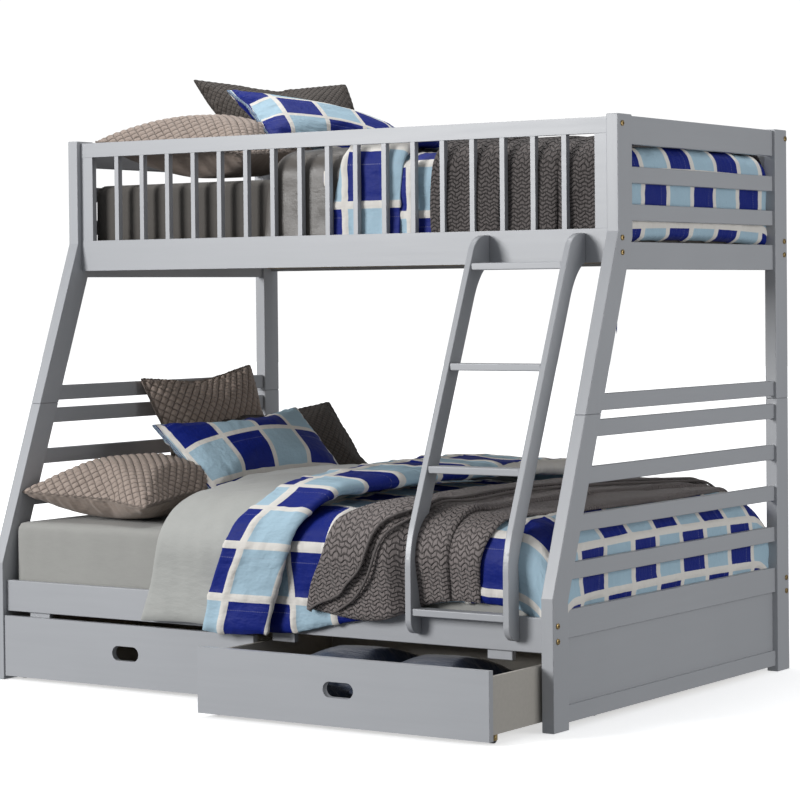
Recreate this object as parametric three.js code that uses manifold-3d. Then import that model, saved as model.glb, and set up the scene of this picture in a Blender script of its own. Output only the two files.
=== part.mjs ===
// Bunk bed with a sloping front, a fixed ladder and two rolling drawers.
// Millimetres, +Z up. The head of the bed is at -X, the foot at +X, the front at -Y.
// Every solid is placed with Y measured from the front face of the lower front posts,
// and the bed group then moves the whole object so that its box is centred on X and Y.
import * as THREE from "three";
import { mergeVertices } from "three/addons/utils/BufferGeometryUtils.js";
import Module from "manifold-3d";

const wasm = await Module();
wasm.setup();

// ---- Driving dimensions -------------------------------------------------------------

const LENGTH = 2000;
const DEPTH = 1424;
const HEIGHT = 1665;
const FIT = 0.3; // clearance where a piece is cut to its neighbour

const POST_X = 38; // post thickness along the bed
const POST_Y = 80; // post width across the bed
const SETBACK = 368; // how far the upper front posts stand behind the lower ones
const BEND_LOW = 359; // height of the lower bend on a front post's front face
const BEND_HIGH = 1340;
const BEND_DROP = 14.5; // the rear edge bends this much lower
const POST_SEAM = 840; // joint between lower and upper posts
const SLOPE = SETBACK / (BEND_HIGH - BEND_LOW);

const INNER_X = LENGTH / 2 - POST_X; // inner faces of the posts
const RAIL_Y = 22; // thickness of the side rails
const RAIL_Z = 95;
const LOWER_RAIL_FRONT = 17;
const UPPER_RAIL_FRONT = SETBACK + 17;
const LOWER_RAIL_BOTTOM = 210;
const UPPER_RAIL_BOTTOM = 1254;
const REAR_RAIL_FRONT = DEPTH - 17 - RAIL_Y;

const GUARD = {
  topBottom: 1613,
  topTop: 1658,
  stile: 47,
  stileY: 19,
  baluster: 16,
  balusterCount: 17,
  pitch: 102,
};

const BOARD_X = 20; // thickness of the end boards
const BOARD_INSET = 9; // from the posts' outer faces
const END_BOARDS = {
  top_board: [1583, 1662],
  slat_1: [1475, 1521],
  slat_2: [1370, 1416],
  middle_board: [1234, 1311],
  slat_3: [848, 894],
  slat_4: [778, 824],
  slat_5: [652, 698],
  slat_6: [526, 572],
  slat_7: [400, 446],
};
const KICK = { bottom: 18, boardTop: 65, panelTop: 245, top: 320, panelInset: 18, panelX: 8 };

const DECK = { cleat: 25, cleatRise: 10, slatWidth: 70, slatThick: 16, slatCount: 12, slatSpan: 1790 };

const LADDER = {
  x: 550, // outer face of the left stile
  width: 335,
  stile: 20,
  bottom: 240,
  heel: 40, // radius of the lower front corner
  frontY: -36, // front face of the upright foot
  slope: 0.41,
  frontAt0: 68.5 - 0.41 * 735, // the sloping front line, carried down to the floor
  rearAt0: 128 - 0.41 * 735,
  rungTops: [312, 697, 977, 1257],
  rungThick: 20,
  rungDepth: 52,
  rungInset: 5,
};

const DRAWER = {
  gap: 2, // to the posts, and from the bed's middle
  frontY: 4, // front face when shut
  frontThick: 20,
  bottom: 12,
  top: 197,
  pull: 263, // how far the right drawer is open
  boxInset: 6,
  wall: 12,
  boxBottom: 27,
  boxTop: 179,
  boxDepth: 600,
  floorBottom: 42,
  floorTop: 48,
  slotWidth: 100,
  slotHeight: 43,
  slotZ: 111,
};
const WHEEL = { radius: 16, width: 14, sideInset: 28, frontInset: 59, rearInset: 50 };
const BRACKET = { plate: 1.6, gap: 1, length: 22, bottom: 8 };
const STOPS = { centres: [816, 89, -89, -836], width: 80, y0: 26, y1: 45, bottom: 183 };

const MATTRESS = { rise: 53, height: 218, halfX: 955 };

// ---- Materials ----------------------------------------------------------------------

const finish = (color, roughness, metalness = 0) =>
  new THREE.MeshStandardMaterial({ color, roughness, metalness });

const MATERIALS = {
  paint: finish(0xa3a5a9, 0.42),
  box: finish(0x8f8a84, 0.6),
  deck: finish(0xb59f80, 0.7),
  wheel: finish(0x2b2b2d, 0.5),
  sheet: finish(0xa8a8a3, 0.9),
  duvet: finish(0x9fc0d2, 0.85),
  quilt: finish(0x8c7d70, 0.85),
  checked: finish(0x1c2d96, 0.85),
};

// ---- Geometry helpers ---------------------------------------------------------------

// A box from its lowest and highest values on each axis.
function box(x0, x1, y0, y1, z0, z1) {
  const geometry = new THREE.BoxGeometry(x1 - x0, y1 - y0, z1 - z0);
  return geometry.translate((x0 + x1) / 2, (y0 + y1) / 2, (z0 + z1) / 2);
}

// An outline drawn in (y, z), extruded along X from x0 to x1.
function alongX(shape, x0, x1) {
  const geometry = new THREE.ExtrudeGeometry(shape, {
    depth: x1 - x0,
    bevelEnabled: false,
    curveSegments: 14,
  });
  const turn = new THREE.Matrix4().makeBasis(
    new THREE.Vector3(0, 1, 0),
    new THREE.Vector3(0, 0, 1),
    new THREE.Vector3(1, 0, 0),
  );
  return geometry.applyMatrix4(turn).translate(x0, 0, 0);
}

// An outline drawn in (x, z), extruded along Y from y0 to y1.
function alongY(shape, y0, y1) {
  const geometry = new THREE.ExtrudeGeometry(shape, {
    depth: y1 - y0,
    bevelEnabled: false,
    curveSegments: 12,
  });
  return geometry.rotateX(Math.PI / 2).translate(0, y1, 0);
}

const outline = (points) => new THREE.Shape(points.map(([a, b]) => new THREE.Vector2(a, b)));

function toSolid(geometry) {
  const plain = geometry.clone();
  plain.deleteAttribute("normal");
  plain.deleteAttribute("uv");
  const merged = mergeVertices(plain, 1e-3);
  return new wasm.Manifold(
    new wasm.Mesh({
      numProp: 3,
      vertProperties: merged.attributes.position.array,
      triVerts: new Uint32Array(merged.index.array),
    }),
  );
}

function toGeometry(solid) {
  const mesh = solid.getMesh();
  const geometry = new THREE.BufferGeometry();
  geometry.setAttribute("position", new THREE.BufferAttribute(mesh.vertProperties, 3));
  geometry.setIndex(new THREE.BufferAttribute(mesh.triVerts, 1));
  geometry.computeVertexNormals();
  return geometry;
}

// Several touching or overlapping solids as one.
const join = (geometries) =>
  toGeometry(geometries.map(toSolid).reduce((whole, piece) => whole.add(piece)));

const bed = new THREE.Group();
bed.position.y = (DRAWER.pull - DRAWER.frontY - DEPTH) / 2;

function add(name, material, geometry) {
  const mesh = new THREE.Mesh(geometry, MATERIALS[material]);
  mesh.name = name;
  bed.add(mesh);
  return mesh;
}

// ---- Corner posts -------------------------------------------------------------------

// The front post's front face and rear edge at height z.
function postFront(z) {
  return SLOPE * (THREE.MathUtils.clamp(z, BEND_LOW, BEND_HIGH) - BEND_LOW);
}

function postRear(z) {
  const low = BEND_LOW - BEND_DROP;
  return POST_Y + SLOPE * (THREE.MathUtils.clamp(z, low, BEND_HIGH - BEND_DROP) - low);
}

// Heights from z0 to z1, with the given bends between them.
const stations = (z0, z1, bends) => [z0, ...bends.filter((z) => z > z0 && z < z1), z1];

function frontPost(z0, z1) {
  const front = stations(z0, z1, [BEND_LOW, BEND_HIGH]).map((z) => [postFront(z), z]);
  const rear = stations(z0, z1, [BEND_LOW - BEND_DROP, BEND_HIGH - BEND_DROP]).map((z) => [postRear(z), z]);
  return outline([...rear, ...front.reverse()]);
}

function rearPost(z0, z1) {
  const front = DEPTH - POST_Y;
  return outline([
    [front, z0],
    [DEPTH, z0],
    [DEPTH, z1],
    [front, z1],
  ]);
}

const ENDS = { head: -1, foot: 1 };
const STAGES = { lower: [0, POST_SEAM], upper: [POST_SEAM, HEIGHT] };

// A span on X between two distances from the bed's middle, on the side given by sign.
const spanX = (sign, near, far) => (sign > 0 ? [near, far] : [-far, -near]);

function addPosts() {
  for (const [end, sign] of Object.entries(ENDS)) {
    const [x0, x1] = spanX(sign, INNER_X, LENGTH / 2);
    for (const [stage, [z0, z1]] of Object.entries(STAGES)) {
      add(`front_${end}_post_${stage}`, "paint", alongX(frontPost(z0, z1), x0, x1));
      add(`rear_${end}_post_${stage}`, "paint", alongX(rearPost(z0, z1), x0, x1));
    }
  }
}

// ---- End boards and kick panels -----------------------------------------------------

// A board across one end, its front edge cut to the leaning post.
function endBoard(z0, z1, x0, x1) {
  const bends = [BEND_LOW - BEND_DROP, BEND_HIGH - BEND_DROP];
  const cut = stations(z0, z1, bends).map((z) => [postRear(z) + FIT, z]);
  const rear = DEPTH - POST_Y;
  return alongX(outline([[rear, z0], [rear, z1], ...cut.reverse()]), x0, x1);
}

function kickPanel(sign) {
  const outer = LENGTH / 2 - BOARD_INSET;
  const panelOuter = LENGTH / 2 - KICK.panelInset;
  const boards = spanX(sign, outer - BOARD_X, outer);
  const panel = spanX(sign, panelOuter - KICK.panelX, panelOuter);
  return join([
    endBoard(KICK.panelTop, KICK.top, ...boards),
    endBoard(KICK.boardTop, KICK.panelTop, ...panel),
    endBoard(KICK.bottom, KICK.boardTop, ...boards),
  ]);
}

function addEnds() {
  const outer = LENGTH / 2 - BOARD_INSET;
  for (const [end, sign] of Object.entries(ENDS)) {
    const [x0, x1] = spanX(sign, outer - BOARD_X, outer);
    for (const [name, [z0, z1]] of Object.entries(END_BOARDS)) {
      add(`${end}_${name}`, "paint", endBoard(z0, z1, x0, x1));
    }
    add(`${end}_kick_panel`, "paint", kickPanel(sign));
  }
}

// ---- Side rails, guards and decks ---------------------------------------------------

const sideRail = (y, z) => box(-INNER_X, INNER_X, y, y + RAIL_Y, z, z + RAIL_Z);

// Side rail, end stiles, balusters and top rail, built on the rail's front face at y.
function guardPanel(y, railBack) {
  const railTop = UPPER_RAIL_BOTTOM + RAIL_Z;
  const gridY = y + (railBack ? 2 : 1);
  const upright = (x, width) =>
    box(x - width / 2, x + width / 2, gridY, gridY + GUARD.stileY, railTop, GUARD.topBottom);
  const pieces = [sideRail(y, UPPER_RAIL_BOTTOM)];
  pieces.push(box(-INNER_X, INNER_X, y, y + RAIL_Y, GUARD.topBottom, GUARD.topTop));
  for (const sign of Object.values(ENDS)) {
    pieces.push(upright(sign * (INNER_X - GUARD.stile / 2), GUARD.stile));
  }
  for (let i = 0; i < GUARD.balusterCount; i++) {
    pieces.push(upright((i - (GUARD.balusterCount - 1) / 2) * GUARD.pitch, GUARD.baluster));
  }
  return join(pieces);
}

function lowerFrontRail() {
  const blocks = STOPS.centres.map((x) =>
    box(x - STOPS.width / 2, x + STOPS.width / 2, STOPS.y0, STOPS.y1, STOPS.bottom, LOWER_RAIL_BOTTOM),
  );
  return join([sideRail(LOWER_RAIL_FRONT, LOWER_RAIL_BOTTOM), ...blocks]);
}

// Two cleats on the rails' inner faces and the slats that lie on them.
function slatDeck(frontRail, railBottom) {
  const y0 = frontRail + RAIL_Y;
  const y1 = REAR_RAIL_FRONT;
  const cleatZ = railBottom + DECK.cleatRise;
  const slatZ = cleatZ + DECK.cleat;
  const half = DECK.slatSpan / 2;
  const pieces = [
    box(-INNER_X, INNER_X, y0, y0 + DECK.cleat, cleatZ, slatZ),
    box(-INNER_X, INNER_X, y1 - DECK.cleat, y1, cleatZ, slatZ),
  ];
  for (let i = 0; i < DECK.slatCount; i++) {
    const x = -half + (i * DECK.slatSpan) / (DECK.slatCount - 1);
    const slat = [x - DECK.slatWidth / 2, x + DECK.slatWidth / 2];
    pieces.push(box(...slat, y0 + 2, y1 - 2, slatZ, slatZ + DECK.slatThick));
  }
  return join(pieces);
}

function addSides() {
  add("front_side_panel_upper", "paint", guardPanel(UPPER_RAIL_FRONT, false));
  add("rear_side_panel_upper", "paint", guardPanel(REAR_RAIL_FRONT, true));
  add("front_side_rail_lower", "paint", lowerFrontRail());
  add("rear_side_rail_lower", "paint", sideRail(REAR_RAIL_FRONT, LOWER_RAIL_BOTTOM));
  add("slat_deck_upper", "deck", slatDeck(UPPER_RAIL_FRONT, UPPER_RAIL_BOTTOM));
  add("slat_deck_lower", "deck", slatDeck(LOWER_RAIL_FRONT, LOWER_RAIL_BOTTOM));
}

// ---- Ladder -------------------------------------------------------------------------

const ladderFront = (z) => LADDER.frontAt0 + LADDER.slope * z;
const ladderRear = (z) => LADDER.rearAt0 + LADDER.slope * z;

// The stile's side view: an upright foot against the lower rail, a knee,
// a long slope, and a hooked head that turns upright against the upper rail.
function ladderStile() {
  const footRear = LOWER_RAIL_FRONT - FIT;
  const headRear = UPPER_RAIL_FRONT - FIT;
  const rearKnee = (footRear - LADDER.rearAt0) / LADDER.slope;
  const frontKnee = (LADDER.frontY - LADDER.frontAt0) / LADDER.slope;
  const head = { top: 1337, frontStart: 1290, flat: 372, hookTop: 1255, hookStart: 1157 };
  const shape = new THREE.Shape();
  shape.moveTo(footRear, LADDER.bottom);
  shape.lineTo(footRear, rearKnee - 40);
  shape.quadraticCurveTo(footRear, rearKnee, ladderRear(rearKnee + 40), rearKnee + 40);
  shape.lineTo(ladderRear(head.hookStart), head.hookStart);
  shape.quadraticCurveTo(333, 1233, headRear, head.hookTop);
  shape.lineTo(headRear, head.top);
  shape.lineTo(head.flat, head.top);
  shape.quadraticCurveTo(ladderFront(head.top), head.top, ladderFront(head.frontStart), head.frontStart);
  shape.lineTo(ladderFront(frontKnee + 60), frontKnee + 60);
  shape.quadraticCurveTo(LADDER.frontY, frontKnee, LADDER.frontY, frontKnee - 60);
  shape.lineTo(LADDER.frontY, LADDER.bottom + LADDER.heel);
  const heelCentre = [LADDER.frontY + LADDER.heel, LADDER.bottom + LADDER.heel];
  shape.absarc(...heelCentre, LADDER.heel, Math.PI, 1.5 * Math.PI, false);
  return shape;
}

function addLadder() {
  const left = LADDER.x + LADDER.stile;
  const right = LADDER.x + LADDER.width - LADDER.stile;
  const shape = ladderStile();
  add("ladder_stile_left", "paint", alongX(shape, LADDER.x, left));
  add("ladder_stile_right", "paint", alongX(shape, right, right + LADDER.stile));
  LADDER.rungTops.forEach((top, i) => {
    const bottom = top - LADDER.rungThick;
    const front = Math.max(LADDER.frontY, ladderFront(top - LADDER.rungThick / 2)) + LADDER.rungInset;
    const depth = i === 0 ? LADDER.rungDepth - 7 : LADDER.rungDepth;
    add(`ladder_rung_${i + 1}`, "paint", box(left, right, front, front + depth, bottom, top));
  });
}

// ---- Drawers ------------------------------------------------------------------------

// The drawer front in (x, z) with its finger slot.
function drawerFront(x0, x1) {
  const shape = outline([
    [x0, DRAWER.bottom],
    [x1, DRAWER.bottom],
    [x1, DRAWER.top],
    [x0, DRAWER.top],
  ]);
  const radius = DRAWER.slotHeight / 2;
  const reach = DRAWER.slotWidth / 2 - radius;
  const centre = (x0 + x1) / 2;
  const slot = new THREE.Path();
  slot.absarc(centre + reach, DRAWER.slotZ, radius, -Math.PI / 2, Math.PI / 2, false);
  slot.absarc(centre - reach, DRAWER.slotZ, radius, Math.PI / 2, 1.5 * Math.PI, false);
  slot.closePath();
  shape.holes.push(slot);
  return shape;
}

// Wheel centres as (x, y) on a drawer whose front spans x0 to x1 with its face at y.
function wheelPlaces(x0, x1, y) {
  const rearY = y + DRAWER.frontThick + DRAWER.boxDepth + DRAWER.wall - WHEEL.rearInset;
  const places = {};
  for (const [side, x] of [["left", x0 + WHEEL.sideInset], ["right", x1 - WHEEL.sideInset]]) {
    places[`front_${side}`] = [x, y + WHEEL.frontInset];
    places[`rear_${side}`] = [x, rearY];
  }
  return places;
}

// Two thin plates that hold a wheel from the drawer's floor.
function wheelBracket([x, y]) {
  const near = WHEEL.width / 2 + BRACKET.gap;
  const far = near + BRACKET.plate;
  const half = BRACKET.length / 2;
  return [spanX(1, near, far), spanX(-1, near, far)].map(([a, b]) =>
    box(x + a, x + b, y - half, y + half, BRACKET.bottom, DRAWER.floorBottom),
  );
}

function drawerBox(x0, x1, y) {
  const left = x0 + DRAWER.boxInset;
  const right = x1 - DRAWER.boxInset;
  const front = y + DRAWER.frontThick;
  const back = front + DRAWER.boxDepth;
  const sides = [DRAWER.boxBottom, DRAWER.boxTop];
  const pieces = [
    box(left, left + DRAWER.wall, front, back, ...sides),
    box(right - DRAWER.wall, right, front, back, ...sides),
    box(left, right, back, back + DRAWER.wall, ...sides),
    box(left + DRAWER.wall, right - DRAWER.wall, front, back, DRAWER.floorBottom, DRAWER.floorTop),
  ];
  const brackets = Object.values(wheelPlaces(x0, x1, y)).flatMap(wheelBracket);
  return join([...pieces, ...brackets]);
}

function addWheel(name, [x, y]) {
  const geometry = new THREE.CylinderGeometry(WHEEL.radius, WHEEL.radius, WHEEL.width, 24);
  add(name, "wheel", geometry.rotateZ(Math.PI / 2)).position.set(x, y, WHEEL.radius);
}

function addDrawer(side, x0, x1, y) {
  const front = alongY(drawerFront(x0, x1), y, y + DRAWER.frontThick);
  add(`drawer_front_${side}`, "paint", front);
  add(`drawer_box_${side}`, "box", drawerBox(x0, x1, y));
  for (const [place, centre] of Object.entries(wheelPlaces(x0, x1, y))) {
    addWheel(`drawer_wheel_${side}_${place}`, centre);
  }
}

// ---- Soft goods ---------------------------------------------------------------------

function mattress(y0, railBottom) {
  const z = railBottom + MATTRESS.rise;
  return box(-MATTRESS.halfX, MATTRESS.halfX, y0, REAR_RAIL_FRONT - 5, z, z + MATTRESS.height);
}

// A pillow that leans back towards the head, drawn in (x, z) and extruded across the bed.
const leaning = (points, y0, y1) => alongY(outline(points), y0, y1);

function addUpperBedding() {
  const bottom = UPPER_RAIL_BOTTOM + MATTRESS.rise;
  const top = bottom + MATTRESS.height;
  const y0 = UPPER_RAIL_FRONT + RAIL_Y;
  const y1 = REAR_RAIL_FRONT;
  add("upper_mattress", "sheet", mattress(y0 + 28, UPPER_RAIL_BOTTOM));
  const duvet = [
    box(-240, 955, y0 + 27, y1 - 6, top + 1, top + 70),
    box(-240, 955, y0 + 3, y0 + 27, bottom + 50, top + 70),
  ];
  add("upper_duvet_and_throw", "duvet", join(duvet));
  add("upper_pillow_lying", "quilt", box(-955, -345, y0 + 13, 870, top + 5, 1735));
  const dark = [[-640, top + 5], [-470, top + 5], [-740, 1888], [-925, 1888]];
  const checked = [[-465, top + 5], [-250, top + 5], [-540, 1832], [-734, 1832]];
  const filler = box(-700, -455, 880, 1290, top + 5, 1640);
  const stack = [leaning(dark, 880, 1370), leaning(checked, 880, 1290), filler];
  add("upper_pillows_leaning", "checked", join(stack));
}

function addLowerBedding() {
  const top = LOWER_RAIL_BOTTOM + MATTRESS.rise + MATTRESS.height;
  const railTop = LOWER_RAIL_BOTTOM + RAIL_Z;
  const y0 = LOWER_RAIL_FRONT + RAIL_Y;
  const y1 = REAR_RAIL_FRONT;
  add("lower_mattress", "sheet", mattress(y0 + 5, LOWER_RAIL_BOTTOM));
  const slab = box(-330, 955, y0 + 21, y1 - 6, top + 1, 548);
  const drape = box(-420, 500, -8, y0 + 21, top + 1, 548);
  const fall = box(-420, 500, -8, 12, 204, top + 1);
  add("lower_duvet_and_throw", "duvet", join([slab, drape, fall]));
  add("lower_pillow_lying", "quilt", box(-955, -455, y0 + 26, 560, top + 5, 695));
  const standing = [[-835, top + 5], [-740, top + 5], [-900, 925], [-965, 925]];
  const dark = [[-640, top + 5], [-440, top + 5], [-640, 800], [-830, 800]];
  const checked = [[-560, top + 5], [-340, top + 5], [-540, 780], [-740, 780]];
  const stack = [
    leaning(standing, 650, 1240),
    leaning(dark, 960, 1375),
    leaning(checked, 565, 1080),
    box(-790, -440, 650, 1240, top + 5, 600),
  ];
  add("lower_pillows_leaning", "checked", join(stack));
}

// ---- Assembly -----------------------------------------------------------------------

addPosts();
addEnds();
addSides();
addLadder();
addDrawer("left", -INNER_X + DRAWER.gap, -DRAWER.gap, DRAWER.frontY);
addDrawer("right", DRAWER.gap, INNER_X - DRAWER.gap, DRAWER.frontY - DRAWER.pull);
addUpperBedding();
addLowerBedding();

export default bed;
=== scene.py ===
"""Looks of a bunk bed with ladder: painted frame, brass bolts, rolling drawers and made-up bedding."""
import math

import bpy
import numpy as np
from mathutils import Matrix, Vector


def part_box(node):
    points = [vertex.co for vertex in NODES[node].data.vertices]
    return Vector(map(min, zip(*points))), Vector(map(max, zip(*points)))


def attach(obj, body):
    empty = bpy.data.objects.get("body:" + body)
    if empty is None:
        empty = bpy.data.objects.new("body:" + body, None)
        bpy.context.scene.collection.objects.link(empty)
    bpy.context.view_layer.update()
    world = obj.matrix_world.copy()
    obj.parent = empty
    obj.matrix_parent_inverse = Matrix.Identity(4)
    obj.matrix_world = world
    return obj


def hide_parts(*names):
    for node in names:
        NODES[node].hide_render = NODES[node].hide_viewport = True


bl_info = {
    "name": "Bunk bed dresser",
    "version": (1, 0, 0),
    "blender": (4, 5, 0),
    "location": "View3D > Sidebar > Bunk bed",
    "description": "Paints the frame of a bunk bed and makes its bolts, mattresses, pillows and covers",
    "category": "Object",
}

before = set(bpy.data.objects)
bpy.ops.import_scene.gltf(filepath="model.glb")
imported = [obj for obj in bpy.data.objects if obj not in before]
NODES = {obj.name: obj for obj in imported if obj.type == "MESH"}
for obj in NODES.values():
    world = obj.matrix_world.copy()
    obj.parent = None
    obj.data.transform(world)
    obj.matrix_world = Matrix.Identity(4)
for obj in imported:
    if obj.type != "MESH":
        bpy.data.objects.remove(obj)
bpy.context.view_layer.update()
BODY = "frame"

# The lower edge of the drawers' boards, above which no bracket reaches.
BRACKET_TOP = 0.0265

# Pitches of the pillows' quilting, and how far up the UV map their plain reverse starts.
QUILT_PITCH = 0.038
FINE_PITCH = 0.026
BACK_UV = 3.0

# The faces that the bedding lies on, read from the frame.
POST_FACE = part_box("front_foot_post_lower")[0].y
POST_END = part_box("front_foot_post_lower")[1].x
RAIL_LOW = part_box("front_side_rail_lower")
RAIL_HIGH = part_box("front_side_panel_upper")
BED_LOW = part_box("lower_mattress")
BED_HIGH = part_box("upper_mattress")
REAR_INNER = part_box("rear_side_rail_lower")[0].y


# ---- Selection and mesh helpers -----------------------------------------------------


def deselect():
    for o in bpy.context.selected_objects:
        o.select_set(False)


def activate(o):
    deselect()
    o.select_set(True)
    bpy.context.view_layer.objects.active = o


def added(name):
    """The primitive that was just added, with its own name."""
    o = bpy.context.object
    o.name = name
    o.data.name = name
    return o


def apply_place(o):
    activate(o)
    bpy.ops.object.transform_apply(location=True, rotation=True, scale=True)
    return o


def apply_modifiers(o):
    activate(o)
    for m in list(o.modifiers):
        bpy.ops.object.modifier_apply(modifier=m.name)
    return o


def select_faces(o, test):
    """Selects the faces whose centre and normal pass the test, and goes into edit mode."""
    activate(o)
    bpy.ops.object.mode_set(mode="EDIT")
    bpy.ops.mesh.select_mode(type="FACE")
    bpy.ops.mesh.select_all(action="DESELECT")
    bpy.ops.object.mode_set(mode="OBJECT")
    for face in o.data.polygons:
        face.select = test(face.center, face.normal)
    bpy.ops.object.mode_set(mode="EDIT")


def leave_edit():
    bpy.ops.object.mode_set(mode="OBJECT")


def smooth(o, degrees):
    activate(o)
    bpy.ops.object.shade_smooth_by_angle(angle=math.radians(degrees))
    return o


def copy_of(o, name, place):
    """A copy with its own mesh, moved by place."""
    twin = o.copy()
    twin.data = o.data.copy()
    twin.name = name
    twin.data.name = name
    twin.data.transform(place)
    bpy.context.scene.collection.objects.link(twin)
    return twin


def finish_piece(o, material, body=BODY, replaces=()):
    """Gives a piece its material and the body it rides on."""
    if not o.data.materials:
        o.data.materials.append(material)
    if replaces:
        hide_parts(*replaces)
    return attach(o, body)


# ---- Shader maths -------------------------------------------------------------------


class Value:
    """A socket of one number, so that shader maths reads as an expression."""

    def __init__(self, recipe, socket):
        self.recipe = recipe
        self.socket = socket

    def maths(self, operation, *values):
        found = self.recipe.node("Math", {"operation": operation}, dict(enumerate(values)))
        return Value(self.recipe, found.outputs[0])

    def __add__(self, other):
        return self.maths("ADD", self, other)

    __radd__ = __add__

    def __sub__(self, other):
        return self.maths("SUBTRACT", self, other)

    def __rsub__(self, other):
        return self.maths("SUBTRACT", other, self)

    def __mul__(self, other):
        return self.maths("MULTIPLY", self, other)

    __rmul__ = __mul__

    def __truediv__(self, other):
        return self.maths("DIVIDE", self, other)

    def __gt__(self, other):
        return self.maths("GREATER_THAN", self, other)

    def __lt__(self, other):
        return self.maths("LESS_THAN", self, other)

    def floor(self):
        return self.maths("FLOOR", self)

    def fraction(self):
        return self.maths("FRACT", self)

    def absolute(self):
        return self.maths("ABSOLUTE", self)

    def sine(self):
        return self.maths("SINE", self)

    def modulo(self, other):
        return self.maths("FLOORED_MODULO", self, other)

    def smallest(self, other):
        return self.maths("MINIMUM", self, other)

    def largest(self, other):
        return self.maths("MAXIMUM", self, other)


class Recipe:
    """One procedural material: its nodes, and the surface they end in."""

    def __init__(self, name):
        self.material = bpy.data.materials.new(name)
        self.material.use_nodes = True
        self.tree = self.material.node_tree
        self.tree.nodes.clear()

    def node(self, kind, settings=None, inputs=None):
        """Any node: its settings first, then the values or links of its sockets."""
        made = self.tree.nodes.new("ShaderNode" + kind)
        for key, value in (settings or {}).items():
            if key == "stops":
                self.set_stops(made.color_ramp, value)
            else:
                setattr(made, key, value)
        for key, value in (inputs or {}).items():
            if isinstance(value, Value):
                value = value.socket
            if isinstance(value, bpy.types.NodeSocket):
                self.tree.links.new(value, made.inputs[key])
            else:
                made.inputs[key].default_value = value
        return made

    @staticmethod
    def set_stops(ramp, stops):
        while len(ramp.elements) < len(stops):
            ramp.elements.new(0.5)
        for element, (position, color) in zip(ramp.elements, stops):
            element.position = position
            element.color = color

    def value(self, socket):
        return Value(self, socket)

    def place(self, scale=(1, 1, 1), uv=False):
        """Object coordinates, or the piece's own UV map in metres, stretched by scale."""
        source = self.node("TexCoord").outputs["UV" if uv else "Object"]
        return self.node("Mapping", inputs={"Vector": source, "Scale": scale}).outputs[0]

    def noise(self, place, scale, detail=3.0, roughness=0.55):
        inputs = {"Vector": place, "Scale": scale, "Detail": detail, "Roughness": roughness}
        return self.value(self.node("TexNoise", inputs=inputs).outputs["Fac"])

    def mix(self, factor, low, high):
        """A colour between two colours."""
        made = self.node("Mix", {"data_type": "RGBA"}, {0: factor, 6: low, 7: high})
        return made.outputs[2]

    def axes(self, place):
        made = self.node("SeparateXYZ", inputs={0: place})
        return [self.value(made.outputs[i]) for i in range(3)]

    def bump(self, height, distance, strength=1.0, under=None):
        inputs = {"Height": height, "Distance": distance, "Strength": strength}
        if under is not None:
            inputs["Normal"] = under
        return self.node("Bump", inputs=inputs).outputs[0]

    def surface(self, **sockets):
        """The principled shader, with sockets named by words joined with underscores."""
        words = {"ior": "IOR", "specular_ior_level": "Specular IOR Level"}
        inputs = {words.get(k, k.replace("_", " ").title()): v for k, v in sockets.items()}
        shader = self.node("BsdfPrincipled", inputs=inputs)
        self.node("OutputMaterial", inputs={"Surface": shader.outputs[0]})
        return self.material


def tone(color, gain=1.0):
    return (*[min(1.0, c * gain) for c in color[:3]], 1.0)


# ---- Materials ----------------------------------------------------------------------


def paint_material(name, color, grain, roughness):
    """Sprayed satin paint over planed wood whose grain runs along the given scale."""
    r = Recipe(name)
    place = r.place()
    along = r.place(scale=grain)
    cloud = r.noise(place, 3.0, 2.0)
    wood = r.noise(along, 60.0, 4.0)
    peel = r.noise(place, 700.0, 1.0)
    color_out = r.mix(cloud * 0.6 + wood * 0.4, tone(color, 0.93), tone(color, 1.07))
    normal = r.bump(wood, 0.0006, 0.35, r.bump(peel, 0.0001, 0.25))
    return r.surface(
        base_color=color_out,
        roughness=wood * 0.12 + (roughness - 0.06),
        normal=normal,
        coat_weight=0.12,
        coat_roughness=0.25,
    )


def pine_material():
    r = Recipe("planed_pine")
    along = r.place(scale=(1, 0.06, 1))
    rings = r.noise(along, 45.0, 5.0)
    fibre = r.noise(along, 400.0, 2.0)
    color = r.mix(rings, (0.46, 0.32, 0.18, 1), (0.68, 0.52, 0.33, 1))
    normal = r.bump(rings + fibre * 0.5, 0.0006, 0.5)
    return r.surface(base_color=color, roughness=0.62 + fibre * 0.15, normal=normal)


def drawer_material(color, bracket):
    """Grey-beige foil on the board, and plated steel below the board's lower edge."""
    r = Recipe("drawer_board")
    place = r.place()
    height = r.axes(place)[2]
    plated = height < BRACKET_TOP
    grain = r.noise(r.place(scale=(0.08, 1, 1)), 90.0, 4.0)
    board = r.mix(grain, tone(color, 0.9), tone(color, 1.08))
    return r.surface(
        base_color=r.mix(plated, board, tone(bracket)),
        roughness=0.55 - plated * 0.25 + grain * 0.08,
        metallic=plated,
        normal=r.bump(grain, 0.0004, 0.4),
    )


def metal_material(name, color, roughness):
    r = Recipe(name)
    place = r.place()
    tarnish = r.noise(place, 160.0, 4.0)
    color_out = r.mix(tarnish, tone(color, 0.55), tone(color, 1.25))
    return r.surface(
        base_color=color_out,
        roughness=tarnish * 0.25 + roughness,
        metallic=1.0,
        normal=r.bump(tarnish, 0.0002, 0.4),
    )


def nylon_material():
    r = Recipe("black_nylon")
    grain = r.noise(r.place(), 900.0, 2.0)
    color = r.mix(grain, (0.018, 0.018, 0.019, 1), (0.035, 0.035, 0.037, 1))
    return r.surface(base_color=color, roughness=0.42 + grain * 0.15, normal=r.bump(grain, 0.0001, 0.4))


def weave(recipe, threads):
    """The height of a plain weave, threads to the metre, over the piece's UV map."""
    u, v, _ = recipe.axes(recipe.place(uv=True))
    turn = threads * math.pi
    return (u * turn).sine().absolute() * 0.5 + (v * turn).sine().absolute() * 0.5


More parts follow.
